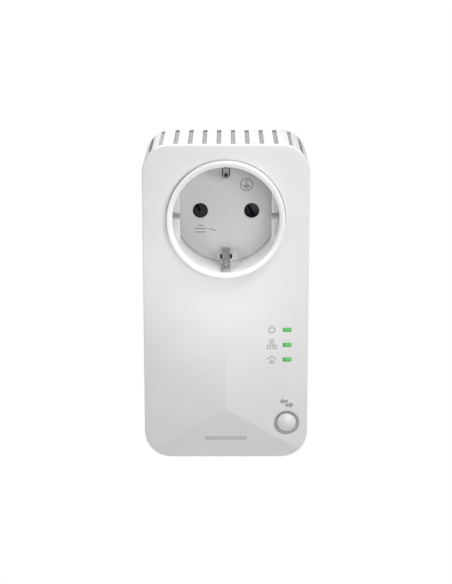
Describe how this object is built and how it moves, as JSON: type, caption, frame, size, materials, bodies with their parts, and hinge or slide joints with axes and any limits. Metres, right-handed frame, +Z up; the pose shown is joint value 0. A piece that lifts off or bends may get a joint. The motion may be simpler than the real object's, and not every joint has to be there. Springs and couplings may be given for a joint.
{
  "type": "powerline network adapter",
  "caption": "Wall-plug powerline network adapter with a pass-through round socket, status lights, a pairing button, top vents and a network jack underneath.",
  "frame": {"origin": "centre of the rear plug's end face, midway between its pins", "axes": "+Y from the front of the case into the wall, along the plug pins; +Z up along the case's long side; +X to the right as the front is seen"},
  "size_m": [0.0604, 0.0777, 0.1176],
  "materials": {
    "white_plastic": "fine satin moulding, slightly glossy at the socket rim",
    "grey_plastic": "matt moulded grey",
    "dark_plastic": "matt black moulding",
    "button_plastic": "satin domed cap",
    "bezel_plastic": "matt mid grey",
    "lens": "lit green, translucent",
    "nickel": "nickel plate",
    "brass": "stamped brass",
    "zinc_steel": "zinc plated screw",
    "spring_steel": "drawn wire",
    "board": "green solder mask on glass laminate",
    "chip": "moulded epoxy",
    "ceramic": "matt off-white",
    "film": "yellow box capacitor",
    "sleeve": "shrink sleeve",
    "aluminium": "extruded",
    "wire": "blue insulation",
    "label": "blank silver-grey film"
  },
  "bodies": {
    "housing": {"front_cover": "white_plastic", "rear_cover": "white_plastic", "vent_baffle": "grey_plastic", "case_screw_upper_left": "zinc_steel", "case_screw_upper_right": "zinc_steel", "case_screw_lower_left": "zinc_steel", "case_screw_lower_right": "zinc_steel", "rating_label": "label", "socket_cup": "white_plastic", "socket_faceplate": "grey_plastic", "shutter_spring": "spring_steel", "earth_strap": "brass", "contact_clip_left": "brass", "contact_clip_right": "brass", "contact_carrier": "white_plastic", "plug_body": "white_plastic", "plug_pin_left": "nickel", "plug_pin_right": "nickel", "plug_earth_top": "nickel", "plug_earth_bottom": "nickel", "main_pcb": "board", "psu_pcb": "board", "board_header": "dark_plastic", "powerline_chip": "chip", "heat_sink": "aluminium", "memory_chip": "chip", "crystal": "nickel", "ethernet_transformer": "chip", "rj45_jack": "nickel", "coupling_transformer": "chip", "film_capacitor": "film", "flyback_transformer": "ceramic", "input_capacitor": "sleeve", "output_capacitor": "sleeve", "fuse": "chip", "varistor": "wire", "mains_choke": "brass", "bridge_rectifier": "chip", "optocoupler": "chip", "mains_wire_left": "wire", "mains_wire_right": "wire", "led_power": "ceramic", "led_network": "ceramic", "led_powerline": "ceramic", "light_pipe": "lens", "switch_body": "dark_plastic", "button_bezel": "bezel_plastic"},
    "button": {"pair_button": "button_plastic"},
    "plunger": {"switch_plunger": "ceramic"},
    "shutter": {"shutter_rotor": "dark_plastic"},
    "upper_earth": {"earth_contact_top": "nickel"},
    "lower_earth": {"earth_contact_bottom": "nickel"}
  },
  "joints": [
    {"name": "button_press", "type": "slide", "parent": "housing", "child": "button", "axis": [0, 1, 0], "range_m": [0, 0.0004], "stiffness_N_per_m": 400, "springref_m": -0.001},
    {"name": "plunger_press", "type": "slide", "parent": "housing", "child": "plunger", "axis": [0, 1, 0], "range_m": [0, 0.0004]},
    {"name": "shutter_turn", "type": "hinge", "parent": "housing", "child": "shutter", "pos_m": [0, -0.036, 0], "axis": [0, 1, 0], "range_deg": [0, 36], "stiffness_Nm_per_rad": 0.002, "springref_deg": -11.46},
    {"name": "upper_earth_flex", "type": "hinge", "parent": "housing", "child": "upper_earth", "pos_m": [0, -0.035, 0.0175], "axis": [-1, 0, 0], "range_deg": [0, 3], "stiffness_Nm_per_rad": 0.05, "springref_deg": -2.86},
    {"name": "lower_earth_flex", "type": "hinge", "parent": "housing", "child": "lower_earth", "pos_m": [0, -0.035, -0.0175], "axis": [1, 0, 0], "range_deg": [0, 3], "stiffness_Nm_per_rad": 0.05, "springref_deg": -2.86}
  ],
  "couplings": [
    {"joint": "plunger_press", "follows": "button_press", "ratio": 1}
  ]
}
